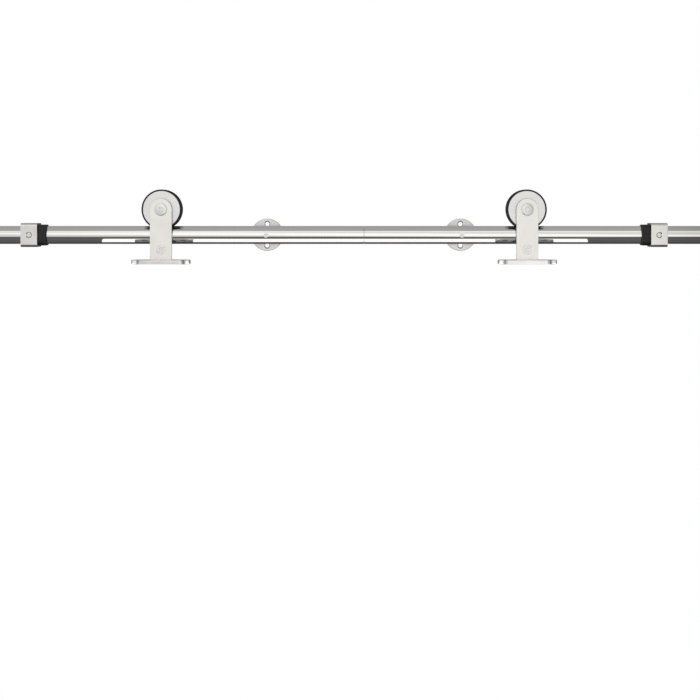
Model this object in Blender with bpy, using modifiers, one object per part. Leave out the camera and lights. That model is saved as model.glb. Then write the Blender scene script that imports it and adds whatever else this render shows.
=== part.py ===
"""Top-mount sliding barn door hardware: a round rail on four wall brackets, two strap
hangers with grooved wheels, and two end stops with rubber bumpers.

The frame: X runs along the rail, -Y points from the wall into the room, +Z is up. The
origin lies on the wall, behind the joint of the two rail tubes and level with their axis.
"""

import math

import bmesh
import bpy

MM = 0.001
GAP = 0.3 * MM

# How many sides the round pieces have, from the wheel down to the screw holes.
WHEEL_SIDES = 32
RAIL_SIDES = 28
BOLT_SIDES = 20
SHAFT_SIDES = 16
HOLE_SIDES = 12
SOCKET_SIDES = 6

# The rail: two round tubes end to end, joined by an inner sleeve.
RAIL_RADIUS = 12.5 * MM
RAIL_WALL = 1.5 * MM
RAIL_Y = -30 * MM
TUBE_LENGTH = 750 * MM
TUBE_END_CHAMFER = 0.4 * MM
JOINER_LENGTH = 120 * MM
JOINER_WALL = 3.2 * MM
JOINER_SCREW_X = 40 * MM
JOINER_SCREW_RADIUS = 3 * MM
PLUG_CAP = 3 * MM
PLUG_SPIGOT = 12 * MM

# The wall brackets: where each tube is drilled, and the sizes of what holds it.
BRACKETS = {"far_left": -614 * MM, "left": -135.5 * MM, "right": 135.5 * MM, "far_right": 614 * MM}
FLANGE_RADIUS = 22.5 * MM
FLANGE_THICKNESS = 5 * MM
FLANGE_HOLE_Z = 15 * MM
FLANGE_HOLE_RADIUS = 3 * MM
COUNTERSINK_RADIUS = 4.6 * MM
STANDOFF_RADIUS = 7 * MM
STANDOFF_FRONT_Y = -19 * MM
RAIL_BOLT_HEAD = 3.5 * MM
RAIL_BOLT_SHANK = 2.5 * MM

# The hangers: a wheel above the rail, and the strap and foot plate that carry the door.
HANGERS = {"left": -280 * MM, "right": 225 * MM}
WHEEL_RADIUS = 27.7 * MM
WHEEL_WIDTH = 24 * MM
GROOVE_RADIUS = RAIL_RADIUS + GAP
WHEEL_AXIS_Z = 35.4 * MM
DISC_RADIUS = 25.65 * MM
DISC_HOLE = 8.2 * MM
DISC_THICKNESS = 1.5 * MM
BEARING_OUTER = 11 * MM
BEARING_WIDTH = 7 * MM
RACE_INNER = 6.2 * MM
RACE_OUTER = 9.2 * MM
BALL_COUNT = 7
BALL_RADIUS = 1.2 * MM
AXLE_RADIUS = 3.9 * MM
AXLE_BORE = AXLE_RADIUS + GAP
AXLE_HEAD_RADIUS = 8.5 * MM
AXLE_HEAD_HEIGHT = 3 * MM
AXLE_HEAD_RISE = 0.6 * MM
AXLE_SOCKET = 3.46 * MM
NUT_RADIUS = 7.5 * MM
NUT_HEIGHT = 6.5 * MM
STRAP_WIDTH = 30 * MM
STRAP_THICKNESS = 5 * MM
STRAP_FRONT = 20.5 * MM
PIN_Z = -20 * MM
PIN_RADIUS = 6.5 * MM
PIN_BORE = 3.2 * MM
PIN_REAR = -5 * MM
FOOT_LENGTH = 82 * MM
FOOT_DEPTH = 30 * MM
FOOT_THICKNESS = 6 * MM
FOOT_TOP_Z = -34 * MM
FOOT_HOLE_X = 27 * MM
FOOT_HOLE_RADIUS = 3.25 * MM
FOOT_COUNTERSINK = 5.6 * MM

# The end stops: block centres, and the rounded sections that slide on the rail.
STOPS = {"left": -462.5 * MM, "right": 407.5 * MM}
STOP_LENGTH = 23 * MM
STOP_FRONT_Y = -47 * MM
STOP_REAR_Y = -11 * MM
STOP_HALF_HEIGHT = 16.5 * MM
STOP_CORNER = 3.8 * MM
BUMPER_LENGTH = 12 * MM
BUMPER_FRONT_Y = -45.5 * MM
BUMPER_REAR_Y = -14.5 * MM
BUMPER_HALF_HEIGHT = 14.5 * MM
BUMPER_FRONT_CORNER = 5.8 * MM
BUMPER_REAR_CORNER = 12 * MM
STOP_SCREW_RADIUS = 3 * MM
STOP_SCREW_MOUTH = 4.6 * MM
STOP_SCREW_RECESS = 1.3 * MM

FRONT_FACING = (math.radians(90), 0, 0)
RIGHT_FACING = (0, math.radians(90), 0)
LEFT_FACING = (0, math.radians(-90), 0)
REAR_FACING = (math.radians(-90), 0, 0)
SECTION_FACING = (math.radians(90), 0, math.radians(90))
UPRIGHT = (0, 0, 0)


# ---- the scene, its collections and finishes

def clear_scene():
    for old in list(bpy.data.objects):
        bpy.data.objects.remove(old)


def new_collection(name):
    collection = bpy.data.collections.new(name)
    bpy.context.scene.collection.children.link(collection)
    return collection


def finish(name, colour, roughness, metallic):
    material = bpy.data.materials.new(name)
    material.use_nodes = True
    shader = material.node_tree.nodes["Principled BSDF"]
    shader.inputs["Base Color"].default_value = (*colour, 1)
    shader.inputs["Roughness"].default_value = roughness
    shader.inputs["Metallic"].default_value = metallic
    return material


clear_scene()
parts = new_collection("sliding_barn_door_hardware")
cutters = new_collection("cutters")

satin_steel = finish("satin_stainless_steel", (0.74, 0.73, 0.70), 0.35, 1.0)
bright_tube = finish("polished_stainless_tube", (0.70, 0.70, 0.69), 0.15, 1.0)
bolt_steel = finish("turned_stainless_steel", (0.66, 0.65, 0.63), 0.30, 1.0)
bearing_steel = finish("bearing_steel", (0.55, 0.55, 0.56), 0.20, 1.0)
black_nylon = finish("black_nylon", (0.016, 0.016, 0.017), 0.45, 0.0)
black_rubber = finish("black_rubber", (0.030, 0.029, 0.029), 0.70, 0.0)


# ---- helpers: outlines, turned pieces, plates and cuts

def arc(centre_x, centre_y, radius, start, end, steps):
    """Points on an arc, from one angle to another in degrees."""
    points = []
    for step in range(steps + 1):
        angle = math.radians(start + (end - start) * step / steps)
        points.append((centre_x + radius * math.cos(angle), centre_y + radius * math.sin(angle)))
    return points


def circle(centre_x, centre_y, radius, steps):
    return arc(centre_x, centre_y, radius, 0, 360, steps)[:-1]


def rounded_section(low_x, high_x, half_height, front_corner, rear_corner, steps):
    """A rounded rectangle about the height zero, with its own corner radius front and rear."""
    front, rear = low_x + front_corner, high_x - rear_corner
    points = arc(rear, half_height - rear_corner, rear_corner, 0, 90, steps)
    points += arc(front, half_height - front_corner, front_corner, 90, 180, steps)
    points += arc(front, front_corner - half_height, front_corner, 180, 270, steps)
    points += arc(rear, rear_corner - half_height, rear_corner, 270, 360, steps)
    return points


def place(piece, location, rotation, parent, collection):
    collection.objects.link(piece)
    piece.location = location
    piece.rotation_euler = rotation
    piece.parent = parent
    return piece


def joint_frame(name, location, parent=None):
    """An empty on a joint's axis, which carries the pieces that move with that joint."""
    return place(bpy.data.objects.new(name, None), location, UPRIGHT, parent, parts)


def turned(name, outline, steps, location, rotation, parent, material, collection=parts):
    """A solid of revolution about its local Z. The outline gives (radius, height) points
    down its outer side. It closes on itself unless it starts and ends on the axis."""
    mesh = bpy.data.meshes.new(name)
    edges = [(index, index + 1) for index in range(len(outline) - 1)]
    if outline[0][0] > 0:
        edges.append((len(outline) - 1, 0))
    mesh.from_pydata([(radius, 0, height) for radius, height in outline], edges, [])
    mesh.materials.append(material)
    piece = place(bpy.data.objects.new(name, mesh), location, rotation, parent, collection)
    screw = piece.modifiers.new("turn", "SCREW")
    screw.steps = steps
    screw.render_steps = steps
    screw.use_merge_vertices = True
    screw.merge_threshold = 0.00001
    screw.use_smooth_shade = True
    return piece


def plate(name, loops, thickness, location, rotation, parent, material, edge=0.0):
    """A flat piece from its outline and holes, centred on its thickness, edges broken."""
    curve = bpy.data.curves.new(name, "CURVE")
    curve.dimensions = "2D"
    curve.fill_mode = "BOTH"
    curve.extrude = thickness / 2
    for loop in loops:
        spline = curve.splines.new("POLY")
        spline.points.add(len(loop) - 1)
        for point, (x, y) in zip(spline.points, loop):
            point.co = (x, y, 0, 1)
        spline.use_cyclic_u = True
    outline = place(bpy.data.objects.new(name + "_outline", curve), location, rotation, parent, parts)
    graph = bpy.context.evaluated_depsgraph_get()
    mesh = bpy.data.meshes.new_from_object(outline.evaluated_get(graph))
    shape = bmesh.new()
    shape.from_mesh(mesh)
    bmesh.ops.remove_doubles(shape, verts=shape.verts, dist=0.000001)
    shape.to_mesh(mesh)
    shape.free()
    mesh.materials.clear()
    mesh.materials.append(material)
    bpy.data.objects.remove(outline)
    piece = place(bpy.data.objects.new(name, mesh), location, rotation, parent, parts)
    if edge:
        bevel = piece.modifiers.new("broken_edges", "BEVEL")
        bevel.width = edge
        bevel.segments = 1
        bevel.limit_method = "ANGLE"
        bevel.angle_limit = math.radians(40)
    return piece


def smooth_rounds(piece, angle=30):
    piece.data.shade_smooth()
    piece.data.set_sharp_from_angle(angle=math.radians(angle))
    return piece


def as_cutter(piece):
    piece.hide_render = True
    piece.display_type = "WIRE"
    return piece


def turned_cutter(name, outline, steps, location, rotation, parent=None):
    return as_cutter(turned(name, outline, steps, location, rotation, parent, None, cutters))


def prism_cutter(name, sides, radius, depth, location, rotation, parent=None):
    """A straight cutter with a regular section, centred on its depth."""
    mesh = bpy.data.meshes.new(name)
    shape = bmesh.new()
    bmesh.ops.create_cone(shape, cap_ends=True, segments=sides, radius1=radius, radius2=radius, depth=depth)
    shape.to_mesh(mesh)
    shape.free()
    return as_cutter(place(bpy.data.objects.new(name, mesh), location, rotation, parent, cutters))


def cut(piece, cutter):
    boolean = piece.modifiers.new(cutter.name, "BOOLEAN")
    boolean.operation = "DIFFERENCE"
    boolean.solver = "EXACT"
    boolean.object = cutter


def ring(inner, outer, low, high, chamfer=0.0):
    """The outline of a plain ring, with its outer edges chamfered."""
    if not chamfer:
        return [(outer, high), (outer, low), (inner, low), (inner, high)]
    return [(outer - chamfer, high), (outer, high - chamfer), (outer, low + chamfer),
            (outer - chamfer, low), (inner, low), (inner, high)]


def countersink(hole, mouth, face, depth, past):
    """The outline of a hole with a conical mouth at the height of the face."""
    cone = mouth - hole
    return [(0, face + past), (mouth + past, face + past), (mouth, face), (hole, face - cone),
            (hole, face - depth), (0, face - depth)]


# ---- the rail

def make_rail():
    inner = RAIL_RADIUS - RAIL_WALL
    joiner_radius = inner - GAP
    hole = JOINER_SCREW_RADIUS + GAP
    for side, name in ((-1, "left"), (1, "right")):
        facing = RIGHT_FACING if side > 0 else LEFT_FACING
        start = side * GAP / 2
        tube = turned("rail_tube_" + name, ring(inner, RAIL_RADIUS, 0, TUBE_LENGTH, TUBE_END_CHAMFER),
                      RAIL_SIDES, (start, RAIL_Y, 0), facing, None, bright_tube)
        screw_x = side * JOINER_SCREW_X
        cutter = prism_cutter("joiner_screw_hole_" + name, HOLE_SIDES, hole, 12 * MM,
                              (screw_x, RAIL_Y + RAIL_RADIUS, 0), FRONT_FACING)
        cut(tube, cutter)
        for bracket, bracket_x in BRACKETS.items():
            if bracket_x * side > 0:
                cut_for_bolt(tube, bracket, bracket_x)
        plug_radius = inner - GAP
        cap_start = TUBE_LENGTH + GAP / 2 + GAP
        turned("rail_end_plug_" + name,
               [(0, PLUG_CAP), (RAIL_RADIUS - MM, PLUG_CAP), (RAIL_RADIUS, PLUG_CAP - MM),
                (RAIL_RADIUS, 0), (plug_radius, 0), (plug_radius, -PLUG_SPIGOT), (0, -PLUG_SPIGOT)],
               RAIL_SIDES, (side * cap_start, RAIL_Y, 0), facing, None, satin_steel)
        screw_top = RAIL_RADIUS - GAP
        screw_foot = joiner_radius - JOINER_WALL + GAP
        screw = turned("joiner_screw_" + name,
                       [(0, screw_top), (JOINER_SCREW_RADIUS, screw_top),
                        (JOINER_SCREW_RADIUS, screw_foot), (0, screw_foot)],
                       HOLE_SIDES, (screw_x, RAIL_Y, 0), REAR_FACING, None, bolt_steel)
        cut(screw, prism_cutter("joiner_screw_socket_" + name, SOCKET_SIDES, 1.7 * MM, 4 * MM,
                                (screw_x, RAIL_Y + screw_top, 0), REAR_FACING))
    joiner = turned("rail_joiner", ring(joiner_radius - JOINER_WALL, joiner_radius,
                                        -JOINER_LENGTH / 2, JOINER_LENGTH / 2),
                    RAIL_SIDES, (0, RAIL_Y, 0), RIGHT_FACING, None, bearing_steel)
    for name in ("left", "right"):
        cut(joiner, bpy.data.objects["joiner_screw_hole_" + name])


def cut_for_bolt(tube, bracket, bracket_x):
    """The countersunk hole in the tube's front wall and the plain one in its rear wall."""
    mouth = RAIL_BOLT_HEAD + GAP
    hole = RAIL_BOLT_SHANK + GAP
    cutter = turned_cutter("rail_hole_" + bracket,
                           countersink(hole, mouth, RAIL_RADIUS, 3 * RAIL_RADIUS, MM),
                           HOLE_SIDES, (bracket_x, RAIL_Y, 0), FRONT_FACING)
    cut(tube, cutter)


# ---- the wall brackets

def make_bracket(name, bracket_x):
    bore = RAIL_BOLT_SHANK + GAP
    flange = turned("wall_flange_" + name,
                    [(FLANGE_RADIUS - MM, FLANGE_THICKNESS), (FLANGE_RADIUS, FLANGE_THICKNESS - MM),
                     (FLANGE_RADIUS, 0), (bore, 0), (bore, FLANGE_THICKNESS)],
                    RAIL_SIDES, (bracket_x, 0, 0), FRONT_FACING, None, satin_steel)
    for side, level in ((1, "upper"), (-1, "lower")):
        cut(flange, turned_cutter(f"flange_{level}_hole_{name}",
                                  countersink(FLANGE_HOLE_RADIUS, COUNTERSINK_RADIUS,
                                              FLANGE_THICKNESS, 2 * FLANGE_THICKNESS, MM),
                                  HOLE_SIDES, (bracket_x, 0, side * FLANGE_HOLE_Z), FRONT_FACING))
    standoff = turned("standoff_" + name,
                      ring(bore, STANDOFF_RADIUS, FLANGE_THICKNESS + GAP, -STANDOFF_FRONT_Y),
                      BOLT_SIDES, (bracket_x, 0, 0), FRONT_FACING, None, satin_steel)
    cut(standoff, prism_cutter("standoff_saddle_" + name, RAIL_SIDES, RAIL_RADIUS + GAP, 4 * STANDOFF_RADIUS,
                               (bracket_x, RAIL_Y, 0), RIGHT_FACING))
    head = RAIL_RADIUS - 0.1 * MM
    tip = RAIL_Y + MM
    bolt = turned("rail_bolt_" + name,
                  [(0, head), (RAIL_BOLT_HEAD, head), (RAIL_BOLT_SHANK, head - MM),
                   (RAIL_BOLT_SHANK, tip), (0, tip)],
                  HOLE_SIDES, (bracket_x, RAIL_Y, 0), FRONT_FACING, None, bolt_steel)
    cut(bolt, prism_cutter("rail_bolt_socket_" + name, SOCKET_SIDES, 1.7 * MM, 4 * MM,
                           (bracket_x, RAIL_Y - head, 0), FRONT_FACING))


# ---- the hangers

def make_hanger(side, hanger_x):
    """All pieces that slide with one hanger; heights are in front of the rail's plane."""
    hanger = joint_frame(side + "_hanger", (hanger_x, RAIL_Y, 0))
    make_strap(side, hanger)
    make_foot_plate(side, hanger)
    make_anti_jump_pin(side, hanger)
    make_axle(side, hanger)
    wheel = joint_frame(side + "_wheel", (0, 0, WHEEL_AXIS_Z), hanger)
    make_wheel(side, wheel)


def make_strap(side, hanger):
    half = STRAP_WIDTH / 2
    foot = FOOT_TOP_Z + GAP
    outline = [(-half, foot), (half, foot)] + arc(0, WHEEL_AXIS_Z, half, 0, 180, SHAFT_SIDES)
    axle_hole = circle(0, WHEEL_AXIS_Z, AXLE_BORE, SHAFT_SIDES)
    middle = STRAP_FRONT - STRAP_THICKNESS / 2
    strap = plate(side + "_strap", [outline, axle_hole], STRAP_THICKNESS,
                  (0, -middle, 0), FRONT_FACING, hanger, satin_steel, 0.4 * MM)
    smooth_rounds(strap)
    mouth = PIN_RADIUS + GAP
    cut(strap, turned_cutter(side + "_strap_pin_hole",
                             countersink(PIN_BORE, mouth, STRAP_FRONT, 2 * STRAP_THICKNESS, MM),
                             SHAFT_SIDES, (0, 0, PIN_Z), FRONT_FACING, hanger))


def make_foot_plate(side, hanger):
    """The plate lies on the door's top edge, centred under the strap."""
    round_end = FOOT_DEPTH / 2
    straight = FOOT_LENGTH / 2 - round_end
    outline = arc(straight, 0, round_end, -90, 90, 9) + arc(-straight, 0, round_end, 90, 270, 9)
    foot_y = STRAP_THICKNESS / 2 - STRAP_FRONT
    foot = plate(side + "_foot_plate", [outline], FOOT_THICKNESS,
                 (0, foot_y, FOOT_TOP_Z - FOOT_THICKNESS / 2), UPRIGHT, hanger, satin_steel, 0.5 * MM)
    smooth_rounds(foot)
    for hole, x in (("outer", -FOOT_HOLE_X), ("inner", FOOT_HOLE_X)):
        cut(foot, turned_cutter(f"{side}_foot_{hole}_hole",
                                countersink(FOOT_HOLE_RADIUS, FOOT_COUNTERSINK, 0,
                                            2 * FOOT_THICKNESS, MM),
                                HOLE_SIDES, (x, foot_y, FOOT_TOP_Z), UPRIGHT, hanger))


def make_anti_jump_pin(side, hanger):
    """A pin under the rail stops the wheel from jumping off it; a flush bolt holds the pin."""
    pin_front = STRAP_FRONT - STRAP_THICKNESS - GAP
    bore_end = PIN_REAR + 4 * MM
    turned(side + "_anti_jump_pin",
           [(PIN_BORE, pin_front), (PIN_RADIUS, pin_front), (PIN_RADIUS, PIN_REAR + MM),
            (PIN_RADIUS - MM, PIN_REAR), (0, PIN_REAR), (0, bore_end), (PIN_BORE, bore_end)],
           SHAFT_SIDES, (0, 0, PIN_Z), FRONT_FACING, hanger, satin_steel)
    head = STRAP_FRONT - 0.2 * MM
    shank = PIN_BORE - GAP
    cone_end = head - (PIN_RADIUS - shank)
    tip = bore_end + MM
    bolt = turned(side + "_anti_jump_bolt",
                  [(0, head), (PIN_RADIUS - 0.2 * MM, head), (shank, cone_end), (shank, tip), (0, tip)],
                  SHAFT_SIDES, (0, 0, PIN_Z), FRONT_FACING, hanger, bolt_steel)
    cut(bolt, prism_cutter(side + "_anti_jump_socket", SOCKET_SIDES, 2.9 * MM, 4 * MM,
                           (0, -head, PIN_Z), FRONT_FACING, hanger))


def make_axle(side, hanger):
    strap_rear = STRAP_FRONT - STRAP_THICKNESS
    half_bearing = BEARING_WIDTH / 2
    spacer_length = strap_rear - half_bearing - 2 * GAP
    centre = (0, 0, WHEEL_AXIS_Z)
    base = STRAP_FRONT + GAP
    head = base + AXLE_HEAD_HEIGHT
    nut_front = half_bearing + GAP + spacer_length + GAP
    tip = -(nut_front + NUT_HEIGHT + 2 * MM)
    dome = [(share * AXLE_HEAD_RADIUS, head - share * share * AXLE_HEAD_RISE)
            for share in (0, 0.5, 0.75, 0.95)]
    bolt = turned(side + "_axle_bolt",
                  dome + [(AXLE_HEAD_RADIUS, head - 2 * AXLE_HEAD_RISE), (AXLE_HEAD_RADIUS, base),
                          (AXLE_RADIUS, base), (AXLE_RADIUS, tip), (0, tip)],
                  BOLT_SIDES, centre, FRONT_FACING, hanger, bolt_steel)
    cut(bolt, prism_cutter(side + "_axle_socket", SOCKET_SIDES, AXLE_SOCKET, 4.4 * MM,
                           (0, -head, WHEEL_AXIS_Z), FRONT_FACING, hanger))
    for name, low in (("front", half_bearing + GAP), ("rear", -half_bearing - GAP - spacer_length)):
        turned(f"{side}_{name}_spacer", ring(AXLE_BORE, RACE_INNER, low, low + spacer_length),
               SHAFT_SIDES, centre, FRONT_FACING, hanger, satin_steel)
    turned(side + "_bearing_inner_race", ring(AXLE_BORE, RACE_INNER, -half_bearing, half_bearing),
           SHAFT_SIDES, centre, FRONT_FACING, hanger, bearing_steel)
    nut_middle = nut_front + NUT_HEIGHT / 2
    hexagon = circle(0, 0, NUT_RADIUS, SOCKET_SIDES)
    bore = circle(0, 0, AXLE_BORE, SHAFT_SIDES)
    plate(side + "_axle_nut", [hexagon, bore], NUT_HEIGHT, (0, nut_middle, WHEEL_AXIS_Z),
          FRONT_FACING, hanger, bolt_steel)


def make_wheel(side, wheel):
    centre = (0, 0, 0)
    half_width = WHEEL_WIDTH / 2
    recess = half_width - DISC_THICKNESS - GAP
    seat = BEARING_OUTER + GAP
    seat_half = BEARING_WIDTH / 2 + GAP
    shoulder = seat - 1.5 * MM
    disc_seat = DISC_RADIUS + GAP
    rim = WHEEL_RADIUS
    # The groove is an arc about the rail's axis, met where the wheel is at its full radius.
    opening = math.degrees(math.acos((WHEEL_AXIS_Z - rim) / GROOVE_RADIUS))
    groove = arc(WHEEL_AXIS_Z, 0, GROOVE_RADIUS, 180 - opening, 180 + opening, 7)
    outline = [(disc_seat, half_width), (rim, half_width)]
    outline += groove
    outline += [(rim, -half_width), (disc_seat, -half_width), (disc_seat, -recess),
                (shoulder, -recess), (shoulder, -seat_half),
                (seat, -seat_half), (seat, seat_half), (shoulder, seat_half),
                (shoulder, recess), (disc_seat, recess)]
    turned(side + "_wheel_core", outline, WHEEL_SIDES, centre, FRONT_FACING, wheel, black_nylon)
    disc = ring(DISC_HOLE, DISC_RADIUS, half_width - DISC_THICKNESS, half_width)
    turned(side + "_wheel_disc_front", disc, WHEEL_SIDES, centre, FRONT_FACING, wheel, satin_steel)
    turned(side + "_wheel_disc_rear", disc, WHEEL_SIDES, centre, REAR_FACING, wheel, satin_steel)
    half_bearing = BEARING_WIDTH / 2
    turned(side + "_bearing_outer_race", ring(RACE_OUTER, BEARING_OUTER, -half_bearing, half_bearing),
           BOLT_SIDES, centre, FRONT_FACING, wheel, bearing_steel)
    make_ball_ring(side, wheel)


def make_ball_ring(side, wheel):
    """The bearing's balls and the cage that spaces them, as one ring."""
    pitch = (RACE_INNER + RACE_OUTER) / 2
    cage = 0.4 * MM
    balls = bpy.data.meshes.new(side + "_balls")
    shape = bmesh.new()
    for index in range(BALL_COUNT):
        angle = 2 * math.pi * index / BALL_COUNT
        made = bmesh.ops.create_uvsphere(shape, u_segments=6, v_segments=4, radius=BALL_RADIUS)
        shift = (pitch * math.cos(angle), pitch * math.sin(angle), 0)
        bmesh.ops.translate(shape, verts=made["verts"], vec=shift)
    shape.to_mesh(balls)
    shape.free()
    ball_set = as_cutter(place(bpy.data.objects.new(side + "_balls", balls), (0, 0, 0),
                               FRONT_FACING, wheel, cutters))
    cage_ring = turned(side + "_bearing_ball_ring", ring(pitch - cage, pitch + cage, -cage, cage),
                       2 * BALL_COUNT, (0, 0, 0), FRONT_FACING, wheel, bearing_steel)
    union = cage_ring.modifiers.new("balls", "BOOLEAN")
    union.operation = "UNION"
    union.solver = "EXACT"
    union.object = ball_set


# ---- the end stops

def make_stop(side, stop_x, inward):
    """A block clamped on the rail by a set screw, with a rubber bumper towards the hanger."""
    stop = joint_frame(side + "_stop", (stop_x, RAIL_Y, 0))
    bore = circle(0, 0, RAIL_RADIUS + GAP, RAIL_SIDES)
    section = rounded_section(STOP_FRONT_Y - RAIL_Y, STOP_REAR_Y - RAIL_Y, STOP_HALF_HEIGHT,
                              STOP_CORNER, STOP_CORNER, 3)
    block = plate(side + "_stop_block", [section, bore], STOP_LENGTH, (0, 0, 0), SECTION_FACING,
                  stop, satin_steel, 0.5 * MM)
    smooth_rounds(block)
    front = RAIL_Y - STOP_FRONT_Y
    cut(block, turned_cutter(side + "_stop_screw_hole",
                             countersink(STOP_SCREW_RADIUS + GAP, STOP_SCREW_MOUTH, front, 8 * MM, MM),
                             SHAFT_SIDES, (0, 0, 0), FRONT_FACING, stop))
    bumper_x = inward * (STOP_LENGTH / 2 + GAP + BUMPER_LENGTH / 2)
    sleeve = rounded_section(BUMPER_FRONT_Y - RAIL_Y, BUMPER_REAR_Y - RAIL_Y, BUMPER_HALF_HEIGHT,
                             BUMPER_FRONT_CORNER, BUMPER_REAR_CORNER, 4)
    bumper = plate(side + "_stop_bumper", [sleeve, bore], BUMPER_LENGTH, (bumper_x, 0, 0),
                   SECTION_FACING, stop, black_rubber, 0.8 * MM)
    smooth_rounds(bumper)
    screw_front = front - STOP_SCREW_RECESS
    screw_tip = RAIL_RADIUS + GAP
    screw = turned(side + "_stop_screw",
                   [(0, screw_front), (STOP_SCREW_RADIUS - 0.3 * MM, screw_front),
                    (STOP_SCREW_RADIUS, screw_front - 0.3 * MM), (STOP_SCREW_RADIUS, screw_tip),
                    (0, screw_tip)],
                   SHAFT_SIDES, (0, 0, 0), FRONT_FACING, stop, bolt_steel)
    cut(screw, prism_cutter(side + "_stop_screw_socket", SOCKET_SIDES, 1.73 * MM, 4 * MM,
                            (0, -screw_front, 0), FRONT_FACING, stop))


make_rail()
for bracket_name, x in BRACKETS.items():
    make_bracket(bracket_name, x)
for hanger_side, x in HANGERS.items():
    make_hanger(hanger_side, x)
make_stop("left", STOPS["left"], 1)
make_stop("right", STOPS["right"], -1)
bpy.context.view_layer.update()
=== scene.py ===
# %% [markdown]
# Sliding barn door hardware, top mount
#
# A round steel rail stands off the wall on small posts. Two hangers roll along it, each a
# flat strap with a grooved wheel above the rail and a foot plate below, which the door
# hangs from. A rubber-faced stop at each end keeps the door on the rail.
#
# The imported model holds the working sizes, so it is loaded first and never moved. Each
# cell below then makes one finer piece, takes its size from the model's own boxes, and
# says which body of the mechanism the piece travels with.

# %% Load the frame
import math

import bmesh
import bpy
from mathutils import Matrix, Vector


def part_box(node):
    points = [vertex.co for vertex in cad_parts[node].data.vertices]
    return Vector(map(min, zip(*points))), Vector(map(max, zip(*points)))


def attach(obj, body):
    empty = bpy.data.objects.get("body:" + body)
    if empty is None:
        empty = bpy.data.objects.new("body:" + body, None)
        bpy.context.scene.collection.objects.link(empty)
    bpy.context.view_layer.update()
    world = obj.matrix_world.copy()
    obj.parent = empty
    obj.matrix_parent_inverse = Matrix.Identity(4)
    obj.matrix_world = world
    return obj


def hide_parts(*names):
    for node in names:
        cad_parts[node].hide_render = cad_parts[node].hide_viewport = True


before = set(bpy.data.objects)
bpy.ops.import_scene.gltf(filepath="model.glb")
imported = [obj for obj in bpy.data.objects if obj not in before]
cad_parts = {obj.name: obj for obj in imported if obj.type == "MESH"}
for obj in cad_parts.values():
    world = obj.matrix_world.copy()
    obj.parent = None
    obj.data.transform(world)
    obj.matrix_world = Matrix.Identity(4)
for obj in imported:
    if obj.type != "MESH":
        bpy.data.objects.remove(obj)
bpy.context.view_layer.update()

MM = 0.001
CLEARANCE = 0.3 * MM
SIDES = ("left", "right")
BRACKETS = ("far_left", "left", "right", "far_right")
scene = bpy.context.scene


# %% Where the model's nodes are
def box_centre(node):
    low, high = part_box(node)
    return (low + high) / 2


def box_size(node):
    low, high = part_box(node)
    return high - low


rail_centre = box_centre("rail_tube_right")
RAIL_RADIUS = box_size("rail_tube_right").z / 2
RAIL_Y = rail_centre.y
print(f"rail: radius {RAIL_RADIUS / MM:.2f} mm, axis {-RAIL_Y / MM:.1f} mm in front of the wall")

# %% [markdown]
# A pen for outlines
#
# Nearly every piece here is turned on a lathe or cut from plate. Both start as an outline,
# so one pen draws them all with bmesh operators: a line is a vertex extruded to a new
# place, an arc is a vertex spun about a centre. For the lathe the outline is (radius,
# height) and spin turns it. For plate it is (x, y), and it is filled and extruded.


# %% The pen
class Pen:
    """Draws an outline, as (radius, height) for the lathe or (x, y) for plate."""

    def __init__(self, across, up, lathe=False):
        self.shape = bmesh.new()
        self.lathe = lathe
        self.first = self.shape.verts.new(self.point(across, up))
        self.tip = self.first

    def point(self, across, up):
        return (across, 0, up) if self.lathe else (across, up, 0)

    def line(self, across, up):
        made = bmesh.ops.extrude_vert_indiv(self.shape, verts=[self.tip])
        self.tip = made["verts"][0]
        self.tip.co = self.point(across, up)
        return self

    def lines(self, *points):
        for across, up in points:
            self.line(across, up)
        return self

    def arc(self, across, up, degrees, steps):
        """Goes on round a centre, anticlockwise where degrees is positive."""
        axis = (0, -1, 0) if self.lathe else (0, 0, 1)
        made = bmesh.ops.spin(self.shape, geom=[self.tip], cent=self.point(across, up), axis=axis,
                              dvec=(0, 0, 0), angle=math.radians(degrees), steps=steps)
        self.tip = next(item for item in made["geom_last"] if isinstance(item, bmesh.types.BMVert))
        return self

    def close(self):
        if (self.tip.co - self.first.co).length > CLEARANCE / 10:
            self.shape.edges.new((self.tip, self.first))
        bmesh.ops.remove_doubles(self.shape, verts=self.shape.verts, dist=CLEARANCE / 10)
        return self

    def turn(self, steps=96):
        """Spins the outline about its height. It closes on itself, or on the axis."""
        if self.first.co.x > 0:
            self.close()
        bmesh.ops.spin(self.shape, geom=self.shape.verts[:] + self.shape.edges[:], cent=(0, 0, 0),
                       axis=(0, 0, 1), dvec=(0, 0, 0), angle=math.tau, steps=steps, use_merge=True)
        return tidy(self.shape)

    def plate(self, thickness):
        """Fills the outline and gives it a thickness, centred on the drawing plane."""
        self.close()
        bmesh.ops.contextual_create(self.shape, geom=self.shape.edges[:])
        made = bmesh.ops.extrude_face_region(self.shape, geom=self.shape.faces[:] + self.shape.edges[:],
                                             use_keep_orig=True)
        lifted = [item for item in made["geom"] if isinstance(item, bmesh.types.BMVert)]
        bmesh.ops.translate(self.shape, verts=lifted, vec=(0, 0, thickness))
        bmesh.ops.translate(self.shape, verts=self.shape.verts, vec=(0, 0, -thickness / 2))
        return tidy(self.shape)


def tidy(shape):
    """Merges doubles, then turns every face outwards."""
    bmesh.ops.remove_doubles(shape, verts=shape.verts, dist=0.002 * MM)
    bmesh.ops.recalc_face_normals(shape, faces=shape.faces)
    return shape


# %% [markdown]
# Soft edges, holes and places
#
# No real edge is a knife edge, and the small bevels are what catches the light. A hole is a
# Boolean, as a drill takes material away. A piece is made about +Z and laid in place last,
# so that its top faces the room (-Y), the wall (+Y) or along the rail (X).

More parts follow.
